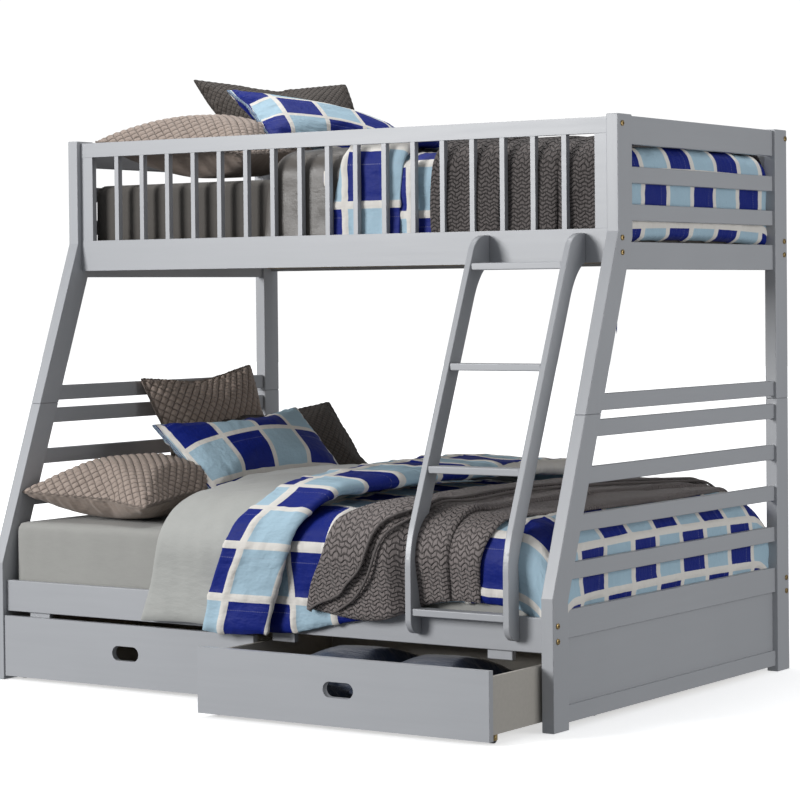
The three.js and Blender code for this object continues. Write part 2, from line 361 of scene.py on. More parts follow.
def plain_cloth(name, color, threads, roughness, sheen, creases):
    """Woven cloth of one colour with soft creases and a fine weave."""
    r = Recipe(name)
    uv = r.place(uv=True)
    cloud = r.noise(uv, 5.0, 3.0)
    crease = r.noise(r.place(scale=(1, 2.2, 1), uv=True), 22.0, 4.0, 0.6)
    # Half of the colour follows the crease bump, which is painted shade in the creases' hollows. The other half
    # is random tone from the cloud.
    color_out = r.mix(cloud * 0.5 + crease * 0.5, tone(color, 0.88), tone(color, 1.1))
    normal = r.bump(crease, 0.004, creases, r.bump(weave(r, threads), 0.0003, 0.35))
    return r.surface(
        base_color=color_out,
        roughness=roughness,
        sheen_weight=sheen,
        sheen_roughness=0.45,
        normal=normal,
    )


def check_cloth(name, colors, pitch, band, seam=None):
    """Squares of two colours in turn, parted by plain bands that are centred on whole pitches.

    Each square has a stitched line. Below the seam, counted in rows, the squares repeat the row above it.
    """
    r = Recipe(name)
    uv = r.place(uv=True)
    u, v, _ = r.axes(uv)
    cell_u, cell_v = u / pitch, v / pitch
    rows = cell_v.floor() if seam is None else cell_v.floor() + (cell_v < seam)
    odd = (cell_u.floor() + rows).modulo(2.0)
    in_u, in_v = cell_u.fraction(), cell_v.fraction()
    share = band / pitch / 2
    from_u, from_v = (in_u - 0.5).absolute(), (in_v - 0.5).absolute()
    on_band = (from_u > 0.5 - share).largest(from_v > 0.5 - share)
    fleck = r.noise(r.place(scale=(1, 6, 1), uv=True), 500.0, 2.0)
    royal, light, cream, thread = (tone(c) for c in colors)
    dark_square = r.mix(fleck, tone(royal, 0.85), tone(royal, 1.2))
    light_square = r.mix(fleck, tone(light, 0.92), light)
    square = r.mix(odd, dark_square, light_square)
    line = ((in_v - STITCH_HEIGHT).absolute() < 0.007) * (1 - on_band)
    dash = (u * 900.0).sine() > -0.2
    with_line = r.mix(line * dash * 0.25, square, thread)
    plain = r.mix(fleck, tone(cream, 0.93), cream)
    cloud = r.noise(uv, 6.0, 3.0)
    tinted = r.mix(on_band, with_line, plain)
    # Darker in random cloudy patches.
    cloud_darkening = r.mix(cloud, (0.5, 0.5, 0.55, 1), (1, 1, 1, 1))
    shade = r.node("Mix", {"data_type": "RGBA", "blend_type": "MULTIPLY"}, {0: 0.18, 6: tinted, 7: cloud_darkening})
    crease = r.noise(r.place(scale=(2.0, 1, 1), uv=True), 26.0, 4.0, 0.6)
    fold = r.noise(r.place(scale=(1, 2.2, 1), uv=True), 9.0, 3.0, 0.55)
    threads = r.bump(weave(r, 900.0), 0.0003, 0.3)
    normal = r.bump(fold, 0.012, 0.75, r.bump(crease, 0.004, 0.65, threads))
    return r.surface(
        base_color=shade.outputs[2],
        roughness=0.8 - (1 - odd) * (1 - on_band) * 0.2,
        specular_ior_level=0.25,
        normal=normal,
    )


def quilt_cloth(name, low, high):
    """Braided quilting: rows of small puffs, with painted shade in the creases between them."""
    r = Recipe(name)
    uv = r.place(uv=True)
    u, v, _ = r.axes(uv)
    stray = r.noise(uv, 26.0, 2.0)
    row = v / 0.0115 + (u * 215.0).sine() * 0.28 + stray * 1.6
    brick = u / 0.0185 + row.floor() * 0.5 + stray
    across = (row * math.pi).sine().absolute()
    along = (brick * math.pi).sine().absolute()
    puff = (across * 1.5).smallest(1.0) * ((along * 2.2).smallest(1.0) * 0.55 + 0.45)
    cloud = r.noise(uv, 4.0, 3.0)
    # The puffs' height also sets the colour: painted shade in the creases.
    color = r.mix(puff * 0.85 + cloud * 0.15, tone(low), tone(high))
    normal = r.bump(puff, 0.0045, 1.0, r.bump(weave(r, 1200.0), 0.0003, 0.3))
    return r.surface(
        base_color=color,
        roughness=0.72,
        specular_ior_level=0.3,
        sheen_weight=0.1,
        sheen_roughness=0.35,
        normal=normal,
    )


def brushed_cloth(name, low, high, sheen, lattice=0.0):
    """Soft brushed microfibre, with painted shade along its crossing quilting lines where it has a lattice."""
    r = Recipe(name)
    uv = r.place(uv=True)
    nap = r.noise(r.place(scale=(1, 2.5, 1), uv=True), 34.0, 4.0, 0.62)
    # The nap's height also sets its colour: painted shade in its hollows.
    color = r.mix(nap, tone(low), tone(high))
    normal = r.bump(nap, 0.003, 0.5, r.bump(weave(r, 1400.0), 0.0002, 0.3))
    if lattice:
        u, v, _ = r.axes(uv)
        turn = math.pi / lattice
        across = ((u + v) * turn).sine().absolute()
        along = ((u - v) * turn).sine().absolute()
        clear = (across.smallest(along) * 3.2).smallest(1.0)
        plain_side = v > BACK_UV / 2
        clear = clear.largest(plain_side)
        # Painted shade along the quilting lines, kept off the plain reverse.
        color = r.mix(clear, tone(low, 0.78), color)
        normal = r.bump(clear, 0.004, 0.8, normal)
    return r.surface(
        base_color=color, roughness=0.7, sheen_weight=sheen, sheen_roughness=0.4, normal=normal
    )


# ---- Soft goods ---------------------------------------------------------------------


def ripples(u, v, size, seed):
    """Smooth seeded noise from -1 to 1 over (u, v), with waves about size across."""
    cells = 61
    lattice = np.random.RandomState(seed).uniform(-1, 1, (cells, cells))
    x, y = u / size + 7.3, v / size + 3.1
    i, j = np.floor(x).astype(int), np.floor(y).astype(int)
    fx, fy = x - i, y - j
    fx, fy = fx * fx * (3 - 2 * fx), fy * fy * (3 - 2 * fy)

    def at(p, q):
        return lattice[p % cells, q % cells]

    low = at(i, j) * (1 - fx) + at(i + 1, j) * fx
    high = at(i, j + 1) * (1 - fx) + at(i + 1, j + 1) * fx
    return low * (1 - fy) + high * fy


def step(x, low, high):
    """0 below low, 1 above high, smooth between."""
    t = np.clip((x - low) / (high - low), 0, 1)
    return t * t * (3 - 2 * t)


def through(points):
    """A smooth line y(x) through (x, y) points in rising order of x, level beyond its ends."""
    xs, ys = (np.array(c, float) for c in zip(*points))
    slopes = np.gradient(ys, xs)

    def line(x):
        x = np.clip(x, xs[0], xs[-1])
        k = np.clip(np.searchsorted(xs, x) - 1, 0, len(xs) - 2)
        span = xs[k + 1] - xs[k]
        f = (x - xs[k]) / span
        rise = ys[k + 1] - ys[k]
        bend_a, bend_b = slopes[k] * span - rise, rise - slopes[k + 1] * span
        return ys[k] + rise * f + f * (1 - f) * (bend_a * (1 - f) + bend_b * f)

    return line


def level(value):
    """A line that keeps one value."""
    return lambda x: value + 0 * x


def shifted(line, by):
    """The same line, moved by a distance."""
    return lambda x: line(x) + by


def coordinates(o):
    co = np.empty(len(o.data.vertices) * 3)
    o.data.vertices.foreach_get("co", co)
    return co.reshape(-1, 3)


def set_coordinates(o, co):
    o.data.vertices.foreach_set("co", np.asarray(co, float).ravel())
    o.data.update()


def set_uv(o, u, v):
    """The piece's own UV map, in metres of cloth."""
    layer = o.data.uv_layers.active or o.data.uv_layers.new(name="Cloth")
    index = np.empty(len(o.data.loops), int)
    o.data.loops.foreach_get("vertex_index", index)
    layer.data.foreach_set("uv", np.stack([u[index], v[index]], 1).ravel())


def get_uv(o):
    """Each vertex's own place in the UV map, which has no seams."""
    index = np.empty(len(o.data.loops), int)
    o.data.loops.foreach_get("vertex_index", index)
    uv = np.empty(len(index) * 2)
    o.data.uv_layers.active.data.foreach_get("uv", uv)
    found = np.zeros((len(o.data.vertices), 2))
    found[index] = uv.reshape(-1, 2)
    return found[:, 0], found[:, 1]


def vertex_normals(o):
    normals = np.empty(len(o.data.vertices) * 3)
    o.data.vertices.foreach_get("normal", normals)
    return normals.reshape(-1, 3)


def double_sheet(name, across, along):
    """A closed flat sheet, two layers thick, with each vertex's (a, b) from 0 to 1 and its side."""
    deselect()
    bpy.ops.mesh.primitive_grid_add(x_subdivisions=across, y_subdivisions=along, size=2)
    o = added(name)
    wall = o.modifiers.new("Wall", "SOLIDIFY")
    wall.thickness = 0.02
    wall.offset = 0
    apply_modifiers(o)
    co = coordinates(o)
    return o, (co[:, 0] + 1) / 2, (co[:, 1] + 1) / 2, np.sign(co[:, 2])


def blown(o, pressure, frames):
    """Fills a closed cloth with air for a few frames and keeps the result."""
    cloth = o.modifiers.new("Cloth", "CLOTH")
    settings = cloth.settings
    settings.quality = 6
    settings.mass = 0.25
    settings.tension_stiffness = 25
    settings.compression_stiffness = 12
    settings.shear_stiffness = 6
    settings.bending_stiffness = 0.6
    settings.use_pressure = True
    settings.uniform_pressure_force = pressure
    settings.effector_weights.gravity = 0.0
    cloth.collision_settings.use_collision = False
    cloth.point_cache.frame_start = 1
    cloth.point_cache.frame_end = frames
    for f in range(1, frames + 1):
        bpy.context.scene.frame_set(f)
    apply_modifiers(o)
    bpy.context.scene.frame_set(1)
    return o


def pillow_shape(name, width, height, loft, seed, phase=(0, 0)):
    """A filled pillow lying flat at the origin, its cloth width by height, with UVs in metres.

    phase moves the pattern from the upper left corner. The reverse side's UVs start 3 m further up.
    """
    o, a, b, side = double_sheet(name, 44, 32)
    rim = np.minimum(np.minimum(a, 1 - a) * width, np.minimum(b, 1 - b) * height)
    x, y = (a - 0.5) * width, (b - 0.5) * height
    rise = 0.004 + 0.015 * step(rim, 0, 0.1)
    wobble = ripples(a * width, b * height, 0.09, seed) * 0.0015
    set_coordinates(o, np.stack([x, y, side * rise + wobble], 1))
    set_uv(o, a * width + phase[0], (b - 1) * height + phase[1] + (side < 0) * BACK_UV)
    flat = coordinates(o)
    blown(o, 3.0, 16)
    co = coordinates(o)
    co[:, :2] = co[:, :2] * 0.4 + flat[:, :2] * 0.6
    co[:, 2] *= loft / max(1e-6, np.ptp(co[:, 2]))
    set_coordinates(o, co)
    return o


def refine(o, levels=1):
    soft = o.modifiers.new("Fine", "SUBSURF")
    soft.levels = levels
    soft.render_levels = levels
    soft.boundary_smooth = "PRESERVE_CORNERS"
    return apply_modifiers(o)


def puckers(o, width, height, depth, seed, phase=(0, 0)):
    """Short creases that run in from the seams."""
    u, v = get_uv(o)
    u, v = u - phase[0], v - phase[1]
    v = np.where(v > BACK_UV / 2, v - BACK_UV, v)
    from_side = np.minimum(u, width - u)
    from_end = np.minimum(-v, height + v)
    near_side = np.exp(-np.clip(from_side, 0, 1) / 0.045)
    near_end = np.exp(-np.clip(from_end, 0, 1) / 0.045)
    height_of = near_side * ripples(v, u * 0.12, 0.016, seed)
    height_of = height_of + near_end * ripples(u, v * 0.12, 0.016, seed + 1)
    inside = step(np.minimum(from_side, from_end), 0.002, 0.02)
    set_coordinates(o, coordinates(o) + vertex_normals(o) * (height_of * inside * depth)[:, None])


def quilting(o, pitch, depth):
    """Puffs between crossing stitch lines, a pitch apart, over the upper side of a pillow."""
    u, v = get_uv(o)
    face = v < BACK_UV / 2
    p, q = (u + v) / pitch, (u - v) / pitch
    puff = np.abs(np.sin(np.pi * p)) ** 0.45 * np.abs(np.sin(np.pi * q)) ** 0.45
    height_of = (puff - 0.6) * depth * face
    set_coordinates(o, coordinates(o) + vertex_normals(o) * height_of[:, None])


def placed(o, corner_points):
    """Carries a flat pillow to its four corners: lower left, lower right, upper right and upper left."""
    low_left, low_right, high_right, high_left = (np.array(p) for p in corner_points)
    co = coordinates(o)
    half = np.abs(co).max(0)
    a, b = co[:, 0] / half[0] / 2 + 0.5, co[:, 1] / half[1] / 2 + 0.5
    a, b = a[:, None], b[:, None]
    low, high = low_left * (1 - a) + low_right * a, high_left * (1 - a) + high_right * a
    flat = low * (1 - b) + high * b
    out = np.cross(low_right - low_left, high_left - low_left)
    out = out / np.linalg.norm(out)
    set_coordinates(o, flat + co[:, 2:] * out)


def rest_above(o, floor, ease=0.02):
    """Presses what would sink below a level flat onto it."""
    co = coordinates(o)
    depth = co[:, 2] - floor
    co[:, 2] = floor + ease * np.log1p(np.exp(np.clip(depth / ease, -40, 40)))
    co[:, 2] = np.where(depth > 6 * ease, depth + floor, co[:, 2])
    set_coordinates(o, co)


class BunkTop:
    """The outside of a made-up bunk: its top, and how the covers fall at the front, the rear and the foot."""

    def __init__(self, top, front, rear, foot, radius, crown, belly=0.0):
        self.top = top
        self.front = front
        self.rear = rear
        self.foot = foot
        self.radius = radius
        self.crown = crown
        self.belly = belly

    def t_at(self, z):
        """How far down the front fall a height is, in metres of cloth from where the top starts to turn."""
        return self.radius * math.pi / 2 + self.top - self.radius - z

    def point(self, s, t, lift):
        """The place of cloth at s along the bed and t down the front, raised by lift from the surface."""
        r = self.radius
        turn_y = self.front(s) + r
        turn_x = self.foot - r
        length = self.rear - r - turn_y
        over_x = np.clip(s - turn_x, 0, None)
        bend_x = np.clip(over_x / r, 0, math.pi / 2)
        drop_x = r * (1 - np.cos(bend_x)) + np.clip(over_x - r * math.pi / 2, 0, None)
        x = np.minimum(s, turn_x) + r * np.sin(bend_x)
        down = np.clip(t, 0, None)
        bend_f = np.clip(down / r, 0, math.pi / 2)
        drop_f = r * (1 - np.cos(bend_f)) + np.clip(down - r * math.pi / 2, 0, None)
        back = np.clip(-t - length, 0, None)
        bend_r = np.clip(back / r, 0, math.pi / 2)
        drop_r = r * (1 - np.cos(bend_r)) + np.clip(back - r * math.pi / 2, 0, None)
        behind = turn_y - np.maximum(t, -length) + r * np.sin(bend_r)
        y = np.where(t > 0, turn_y - r * np.sin(bend_f), behind)
        share = np.clip((y - self.front(s)) / (self.rear - self.front(s)), 0, 1)
        z = self.top + self.crown(s) * 4 * share * (1 - share) - drop_x - drop_f - drop_r
        upright = np.cos(bend_x) * np.cos(bend_f + bend_r) + 1e-3
        normal = np.stack([np.sin(bend_x), np.sin(bend_r) - np.sin(bend_f), upright], 1)
        normal /= np.linalg.norm(normal, axis=1)[:, None]
        belly = self.belly * np.exp(-(((t - self.radius * 1.1) / (self.radius * 0.9)) ** 2))
        return np.stack([x, y, z], 1) + normal * (np.asarray(lift) + belly)[:, None]


def round_edge(distance, radius):
    """0 at an edge, 1 one radius in, on a quarter circle."""
    x = np.clip(distance / radius, 0, 1)
    return np.sqrt(np.clip(1 - (1 - x) ** 2, 0, 1))


def plain_map(s, t):
    """Where a cover's own cloth is at (s, t) of the bunk, in metres."""
    return s, -t


def cover(name, bunk, left, right, end_front, end_rear, lift, loft, roll, grid, folds, seed, cloth=plain_map):
    """A cover laid over a bunk between two edges given as lines of t.

    lift is how high its upper side lies and loft how thick it is, each (on the top, on the fall).
    roll is the radius of the (left, right, front) edges, and grid the cuts across and along.
    folds is a function of (s, t) that adds its own lift, and cloth gives the UV map.
    """
    o, a, b, side = double_sheet(name, *grid)
    t_front = end_front(left(0.3) + (right(0.3) - left(0.3)) * a)
    t = end_rear + (t_front - end_rear) * b
    s = left(t) + (right(t) - left(t)) * a
    width = right(t) - left(t)
    fall = step(t, -0.02, 0.10)
    raised = lift[0] + (lift[1] - lift[0]) * fall
    thick = loft[0] + (loft[1] - loft[0]) * fall
    profile = round_edge(a * width, roll[0]) * round_edge((1 - a) * width, roll[1])
    profile = profile * round_edge(t_front - t, roll[2]) * round_edge(t - end_rear, 0.03)
    thick_here = np.maximum(thick * profile, 0.003)
    middle = raised - thick / 2
    shape = folds(s, t) + ripples(s, t, 0.11, seed) * 0.004 + ripples(s * 1.4, t, 0.045, seed + 1) * 0.0016
    height = middle + side * thick_here / 2 + shape * np.where(side > 0, 1.0, 0.4)
    set_coordinates(o, bunk.point(s, t, height))
    set_uv(o, *cloth(s, t))
    return o


def piping(name, points, radius, material):
    """A sewn cord along an edge, as a mesh tube."""
    deselect()
    curve = bpy.data.curves.new(name, "CURVE")
    curve.dimensions = "3D"
    spline = curve.splines.new("POLY")
    spline.points.add(len(points) - 1)
    for point, place in zip(spline.points, points):
        point.co = (*place, 1)
    curve.bevel_depth = radius
    curve.bevel_resolution = 2
    curve.use_fill_caps = True
    o = bpy.data.objects.new(name, curve)
    bpy.context.scene.collection.objects.link(o)
    activate(o)
    bpy.ops.object.convert(target="MESH")
    o = bpy.context.object
    smooth(o, 60)
    return finish_piece(o, material)


# ---- What a user can change ---------------------------------------------------------


def colour(name, description, default):
    return bpy.props.FloatVectorProperty(
        name=name, description=description, subtype="COLOR", size=3, min=0, max=1, default=default
    )


def length(name, description, default):
    return bpy.props.FloatProperty(name=name, description=description, unit="LENGTH", min=0, default=default)


class BunkFrameLooks(bpy.types.PropertyGroup):
    """Finish of the painted frame, the drawers and the hardware."""

    paint: colour("Paint", "Satin paint of the frame", (0.375, 0.385, 0.405))
    board: colour("Drawer board", "Foil on the drawer boxes", (0.42, 0.395, 0.355))
    brass: colour("Brass", "Plating of the bolt heads", (0.46, 0.33, 0.15))
    bracket: colour("Bracket", "Plating of the wheel brackets", (0.55, 0.42, 0.2))
    roughness: bpy.props.FloatProperty(
        name="Roughness", description="Roughness of the paint", min=0, max=1, subtype="FACTOR", default=0.4
    )
    edge: length("Edge", "Rounding of the frame's edges", 0.0028)
    bolt_radius: length("Bolt radius", "Radius of a bolt head", 0.0078)
    bolt_rise: length("Bolt rise", "How far a bolt head stands out", 0.0032)


class BunkBeddingLooks(bpy.types.PropertyGroup):
    """Colours and pattern of the bedding."""

    royal: colour("Royal blue", "Dark squares", (0.003, 0.014, 0.19))
    light: colour("Light blue", "Light squares", (0.40, 0.56, 0.66))
    cream: colour("Cream", "Bands between the squares", (0.76, 0.73, 0.68))
    reverse: colour("Duvet reverse", "Plain side of the duvets", (0.39, 0.395, 0.375))
    sheet: colour("Sheet", "Fitted sheet of the lower bunk", (0.32, 0.318, 0.30))
    # Painted shade: the upper bunk's sheet and duvet reverse take this darker colour in place of the shade that
    # falls on the upper bunk.
    shaded: colour("Upper sheet", "Fitted sheet and duvet reverse of the upper bunk", (0.085, 0.077, 0.069))
    taupe: colour("Taupe", "Quilted pillows", (0.33, 0.265, 0.225))
    dark: colour("Dark taupe", "Dark pillows", (0.060, 0.048, 0.040))
    throw: colour("Throw", "Quilted throws", (0.085, 0.074, 0.071))
    navy: colour("Navy", "Cushions stored in the drawer", (0.02, 0.035, 0.075))
    pitch: length("Pitch", "Distance from square to square", 0.148)
    band: length("Band", "Width of the plain bands", 0.023)


class BunkStageLooks(bpy.types.PropertyGroup):
    """Floor, lights and camera."""

    floor: colour("Floor", "Colour of the floor", (0.93, 0.93, 0.93))
    focal: bpy.props.FloatProperty(
        name="Focal length", description="Of the camera's lens", unit="CAMERA", min=1, default=118.74
    )


def looks():
    scene = bpy.context.scene
    return scene.bunk_frame_looks, scene.bunk_bedding_looks, scene.bunk_stage_looks


MATERIALS = {}
STITCH_THREAD = (0.5, 0.5, 0.6)
STITCH_HEIGHT = 0.75  # of a square, where its stitched line runs
PILLOW_BAND = 0.74  # the pillows' bands, as a share of the duvets'


def make_materials():
    f, b, _ = looks()
    checks = (b.royal, b.light, b.cream, STITCH_THREAD)
    MATERIALS.update(
        paint_x=paint_material("paint_grain_along_x", f.paint, (0.05, 1, 1), f.roughness),
        paint_y=paint_material("paint_grain_along_y", f.paint, (1, 0.05, 1), f.roughness),
        paint_z=paint_material("paint_grain_along_z", f.paint, (1, 1, 0.05), f.roughness),
        pine=pine_material(),
        board=drawer_material(f.board, f.bracket),
        brass=metal_material("antique_brass", f.brass, 0.28),
        steel=metal_material("yellow_zinc", f.bracket, 0.32),
        nylon=nylon_material(),
        check=check_cloth("check_cotton", checks, b.pitch, b.band),
        check_pillow=check_cloth("check_cotton_pillow", checks, b.pitch, b.band * PILLOW_BAND),
        check_seamed=check_cloth("check_cotton_seamed", checks, b.pitch, b.band, seam=-1.0),
        sheet=plain_cloth("fitted_sheet", b.sheet, 1300, roughness=0.85, sheen=0.15, creases=0.25),
        # The upper bunk's sheet and duvet reverse are copies of the lower ones' cloth in the darker shaded
        # colour, as painted shade.
        sheet_upper=plain_cloth("fitted_sheet_painted_shade", b.shaded, 1300, roughness=0.85, sheen=0.15, creases=0.25),
        reverse=plain_cloth("duvet_reverse", b.reverse, 1100, roughness=0.62, sheen=0.2, creases=0.6),
        reverse_upper=plain_cloth(
            "duvet_reverse_painted_shade", tone(b.shaded, 1.2), 1100, roughness=0.34, sheen=0.2, creases=0.3
        ),
        # The throws are one cloth in lit and shaded copies: the lower throw and its piping are lightened as
        # painted light, and the upper throw is darkened as painted shade.
        throw=quilt_cloth("matelasse_throw", tone(b.throw, 0.8), tone(b.throw, 2.6)),
        throw_upper=quilt_cloth("matelasse_throw_painted_shade", tone(b.throw, 0.4), tone(b.throw, 1.4)),
        throw_edge=brushed_cloth("throw_piping", tone(b.throw, 0.8), tone(b.throw, 2.0), 0.1),
        taupe=brushed_cloth("taupe_microfibre", tone(b.taupe, 0.8), tone(b.taupe, 1.25), 0.12, QUILT_PITCH),
        dark=brushed_cloth("dark_microfibre", tone(b.dark, 0.8), tone(b.dark, 1.25), 0.08, FINE_PITCH),
        navy=plain_cloth("navy_sateen", b.navy, 1500, roughness=0.4, sheen=0.2, creases=0.8),
    )


# ---- Frame --------------------------------------------------------------------------


def node_material(name):
    """The material and slot of a CAD node that keeps its own shape."""
    if name.startswith("drawer_box"):
        return MATERIALS["board"], "drawer_box"
    if name.startswith("drawer_wheel"):
        return MATERIALS["nylon"], "wheel"
    if name.startswith("slat_deck"):
        return MATERIALS["pine"], "slat_wood"
    low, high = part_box(name)
    size = high - low
    grain = "xyz"[list(size).index(max(size))]
    return MATERIALS["paint_" + grain], "frame_paint"


SOFT_WORDS = ("mattress", "duvet", "pillow")


class BUNK_OT_finish_frame(bpy.types.Operator):
    """Paint the frame, drawers, ladder and wheels, and round their edges"""

    bl_idname = "bunk.finish_frame"
    bl_label = "Finish the frame"

    def execute(self, context):
        f, _, _ = looks()
        make_materials()
        for name, o in NODES.items():
            if any(word in name for word in SOFT_WORDS):
                continue
            material, slot = node_material(name)
            o.data.materials.clear()
            o.data.materials.append(material)
            weld = o.modifiers.new("Weld", "WELD")
            weld.merge_threshold = 0.00005
            flat = o.modifiers.new("Flat faces", "DECIMATE")
            flat.decimate_type = "DISSOLVE"
            flat.angle_limit = math.radians(0.5)
            edge = o.modifiers.new("Edge", "BEVEL")
            edge.width = 0.0012 if "wheel" in name or "box" in name or "slat_deck" in name else f.edge
            edge.segments = 2
            edge.limit_method = "ANGLE"
            edge.angle_limit = math.radians(40)
            edge.harden_normals = True
        return {"FINISHED"}


# ---- Hardware -----------------------------------------------------------------------


def bolt_head(f):
    """A domed round head with a hexagon socket, pointing along +X from the origin."""
    deselect()
    bpy.ops.mesh.primitive_cylinder_add(vertices=32, radius=f.bolt_radius, depth=f.bolt_rise)
    head = added("bolt_head")
    head.location.z = f.bolt_rise / 2
    apply_place(head)
    select_faces(head, lambda centre, normal: normal.z > 0.9)
    bpy.ops.mesh.inset(thickness=f.bolt_radius * 0.16)
    bpy.ops.transform.translate(value=(0, 0, f.bolt_rise * 0.22))
    bpy.ops.mesh.inset(thickness=f.bolt_radius * 0.16)
    bpy.ops.transform.translate(value=(0, 0, f.bolt_rise * 0.08))
    leave_edit()
    deselect()
    bpy.ops.mesh.primitive_cylinder_add(vertices=6, radius=f.bolt_radius * 0.42, depth=f.bolt_rise * 2)
    socket = added("socket")
    socket.location.z = f.bolt_rise * 1.55
    apply_place(socket)
    cut = head.modifiers.new("Socket", "BOOLEAN")
    cut.object = socket
    cut.solver = "EXACT"
    apply_modifiers(head)
    bpy.data.objects.remove(socket)
    smooth(head, 40)
    head.data.transform(Matrix.Rotation(math.pi / 2, 4, "Y"))
    return head


BOLT_HEIGHTS = (1.638, 1.322, 1.281, 0.285, 0.244)
# How far each bolt stands from the lower front posts' face, from the top down.
BOLT_FRONT = (0.391, 0.3875, 0.3875, 0.022, 0.022)
BOLT_REAR = (1.412, 1.402, 1.402, 1.402, 1.402)


class BUNK_OT_add_bolts(bpy.types.Operator):
    """Put the round brass bolt heads on the posts' outer faces"""

    bl_idname = "bunk.add_bolts"
    bl_label = "Add the bolts"

    def execute(self, context):
        f, _, _ = looks()
        head = bolt_head(f)
        for end, sign in (("foot", 1), ("head", -1)):
            turn = Matrix.Identity(4) if sign > 0 else Matrix.Rotation(math.pi, 4, "Z")
            for row, depths in (("front", BOLT_FRONT), ("rear", BOLT_REAR)):
                for i, (height, depth) in enumerate(zip(BOLT_HEIGHTS, depths)):
                    place = Matrix.Translation((sign * POST_END, POST_FACE + depth, height)) @ turn
                    bolt = copy_of(head, f"bolt_{end}_{row}_{i + 1}", place)
                    finish_piece(bolt, MATERIALS["brass"])
        bpy.data.objects.remove(head)
        return {"FINISHED"}


class BUNK_OT_add_axles(bpy.types.Operator):
    """Put a riveted axle pin through each drawer wheel's bracket"""

    bl_idname = "bunk.add_axles"
    bl_label = "Add the wheel axles"

    def execute(self, context):
        deselect()
        bpy.ops.mesh.primitive_cylinder_add(vertices=20, radius=0.0028, depth=0.0225)
        pin = added("axle_pin")
        for sign in (1, -1):
            select_faces(pin, lambda centre, normal: normal.z * sign > 0.9)
            bpy.ops.mesh.extrude_region_move()
            bpy.ops.transform.resize(value=(1.7, 1.7, 1))
            bpy.ops.mesh.extrude_region_move(TRANSFORM_OT_translate={"value": (0, 0, sign * 0.0009)})
            bpy.ops.mesh.extrude_region_move(TRANSFORM_OT_translate={"value": (0, 0, sign * 0.0005)})
            bpy.ops.transform.resize(value=(0.6, 0.6, 1))
            leave_edit()
        smooth(pin, 40)
        pin.data.transform(Matrix.Rotation(math.pi / 2, 4, "Y"))
        for name in sorted(NODES):
            if name.startswith("drawer_wheel"):
                low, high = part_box(name)
                side = name.split("_")[2]
                axle = copy_of(pin, name.replace("wheel", "axle"), Matrix.Translation((low + high) / 2))
                finish_piece(axle, MATERIALS["steel"], "drawer_" + side)
        bpy.data.objects.remove(pin)
        return {"FINISHED"}


# ---- Mattresses ---------------------------------------------------------------------

# How much smaller than its plain solid a mattress is, at its low and its high sides.
MATTRESS_TRIM_LOW = Vector((0, 0.002, 0))
MATTRESS_TRIM_HIGH = Vector((0.02, 0.01, 0))


def mattress(name, box, node, sheet):
    """A foam mattress in a fitted sheet: rounded edges, and soft ripples along the sides."""
    low, high = box
    low, high = low + MATTRESS_TRIM_LOW, high - MATTRESS_TRIM_HIGH
    deselect()
    bpy.ops.mesh.primitive_cube_add(size=1, location=(low + high) / 2)
    o = added(name)
    o.scale = high - low
    apply_place(o)
    activate(o)
    bpy.ops.object.mode_set(mode="EDIT")
    bpy.ops.mesh.select_all(action="SELECT")
    bpy.ops.mesh.bevel(offset=0.03, segments=5, profile=0.6, affect="EDGES")
    leave_edit()
    remesh = o.modifiers.new("Even", "REMESH")
    remesh.mode = "VOXEL"
    remesh.voxel_size = 0.014
    apply_modifiers(o)
    co = coordinates(o)
    normals = vertex_normals(o)
    top = (co[:, 2] - low.z) / (high.z - low.z)
    ripple = ripples(co[:, 0] + co[:, 1], co[:, 2] * 0.3, 0.13, 5) * 0.0012
    pull = ripples(co[:, 0] + co[:, 1], co[:, 2] * 0.08, 0.035, 6) * 0.0012 * step(top, 0.1, 0.6)
    side = 1 - np.abs(normals[:, 2])
    co += normals * ((ripple + pull) * side)[:, None]
    set_coordinates(o, co)
    smooth(o, 80)
    o.data.uv_layers.new(name="Cloth")
    set_uv(o, co[:, 0], co[:, 1] + co[:, 2])
    return finish_piece(o, MATERIALS[sheet], replaces=[node])


class BUNK_OT_add_mattresses(bpy.types.Operator):
    """Make the two mattresses in their fitted sheets"""

    bl_idname = "bunk.add_mattresses"
    bl_label = "Add the mattresses"

    def execute(self, context):
        mattress("mattress_lower", BED_LOW, "lower_mattress", "sheet")
        # The upper mattress takes the sheet in painted shade.
        mattress("mattress_upper", BED_HIGH, "upper_mattress", "sheet_upper")
        return {"FINISHED"}


# ---- Pillows ------------------------------------------------------------------------


def corner(x, y, z):
    """A point given from the bed's middle, the lower front posts' face and the floor."""
    return (x, POST_FACE + y, z)


